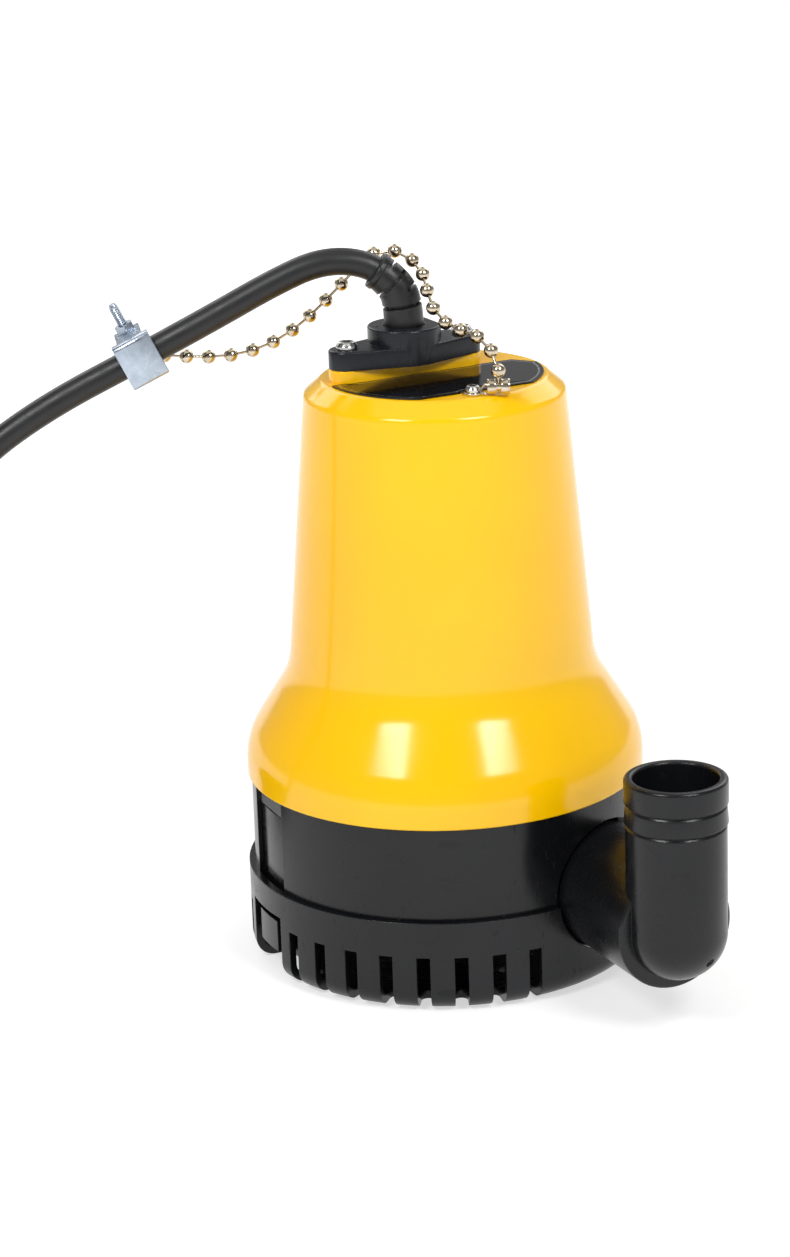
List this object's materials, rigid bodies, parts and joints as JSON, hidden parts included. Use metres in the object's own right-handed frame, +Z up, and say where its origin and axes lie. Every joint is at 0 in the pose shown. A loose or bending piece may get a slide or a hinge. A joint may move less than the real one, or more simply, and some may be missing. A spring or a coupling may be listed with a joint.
{
  "type": "submersible bilge pump",
  "caption": "Submersible bilge pump with a slotted clip-on strainer base, swivelling outlet elbow, tapered motor housing, cable gland, ball chain and coiled cable.",
  "frame": {"origin": "on the motor shaft axis, at the underside of the strainer base", "axes": "+Z up along the motor shaft towards the cable gland; the outlet stub points along azimuth -64 degrees about +Z from +X, and the front is -Y"},
  "size_m": [0.3391, 0.1971, 0.2132],
  "materials": {
    "strainer_plastic": "moulded black ABS, glossy",
    "casing_plastic": "moulded black ABS, glossy",
    "outlet_plastic": "moulded black ABS, semi-gloss",
    "gland_plastic": "moulded black nylon",
    "relief_rubber": "moulded black elastomer",
    "housing_yellow": "moulded yellow ABS, glossy",
    "nameplate_gloss": "black gloss plate with a silver border line",
    "stainless": "polished stainless steel",
    "can_steel": "zinc plated steel",
    "bronze": "sintered bronze",
    "ferrite": "sintered ferrite",
    "brush_plastic": "phenolic",
    "carbon": "carbon",
    "lead_insulation": "PVC insulation",
    "copper": "enamelled copper",
    "impeller_plastic": "moulded glass-filled nylon",
    "seal_rubber": "nitrile rubber",
    "chain_nickel": "nickel plated",
    "clamp_zinc": "zinc plated steel",
    "cable_jacket": "black rubber jacket, satin",
    "tie_nylon": "hook and loop strap",
    "core_red": "PVC insulation, red",
    "core_black": "PVC insulation, black"
  },
  "bodies": {
    "pump": {"brush_plate": "brush_plastic", "brushes": "carbon", "bulkhead": "casing_plastic", "bulkhead_seal": "seal_rubber", "cable_bush": "seal_rubber", "cable_clamp": "clamp_zinc", "cable_coil": "cable_jacket", "cable_inner_end": "cable_jacket", "casing_screws": "stainless", "chain_beads": "chain_nickel", "chain_coupling": "chain_nickel", "chain_eyelet": "chain_nickel", "chain_links": "chain_nickel", "clamp_nut": "clamp_zinc", "clamp_screw": "clamp_zinc", "coil_ties": "tie_nylon", "core_negative": "core_black", "core_positive": "core_red", "eyelet_screw": "stainless", "gland_flange": "gland_plastic", "gland_screws": "stainless", "gland_seal": "seal_rubber", "inlet_cover": "casing_plastic", "inlet_cover_screws": "stainless", "lead_wires": "lead_insulation", "lower_bearing": "bronze", "magnets": "ferrite", "motor_can": "can_steel", "motor_end_plate": "can_steel", "motor_housing": "housing_yellow", "nameplate": "nameplate_gloss", "outlet_seal": "seal_rubber", "power_cable": "cable_jacket", "shaft_seal": "seal_rubber", "strain_relief": "relief_rubber", "strainer_base": "strainer_plastic", "upper_bearing": "bronze", "volute_casing": "casing_plastic"},
    "rotor": {"motor_shaft": "stainless", "armature_core": "can_steel", "armature_windings": "copper", "commutator": "copper", "impeller": "impeller_plastic", "impeller_nut": "stainless"},
    "outlet": {"outlet_elbow": "outlet_plastic"},
    "tab_left": {"release_tab_left": "casing_plastic"},
    "tab_right": {"release_tab_right": "casing_plastic"}
  },
  "joints": [
    {"name": "rotor_spin", "type": "hinge", "parent": "pump", "child": "rotor", "pos_m": [0, 0, 0.1], "axis": [0, 0, 1], "continuous": true},
    {"name": "outlet_swivel", "type": "hinge", "parent": "pump", "child": "outlet", "pos_m": [0.06413, -0.07331, 0.0295], "axis": [0.4384, -0.8988, 0], "range_deg": [-90, 90]},
    {"name": "release_left", "type": "hinge", "parent": "pump", "child": "tab_left", "pos_m": [-0.05092, -0.02257, 0.0495], "axis": [0.4051, -0.9143, 0], "range_deg": [0, 4], "stiffness_Nm_per_rad": 0.6},
    {"name": "release_right", "type": "hinge", "parent": "pump", "child": "tab_right", "pos_m": [0.05092, 0.02257, 0.0495], "axis": [-0.4051, 0.9143, 0], "range_deg": [0, 4], "stiffness_Nm_per_rad": 0.6}
  ]
}
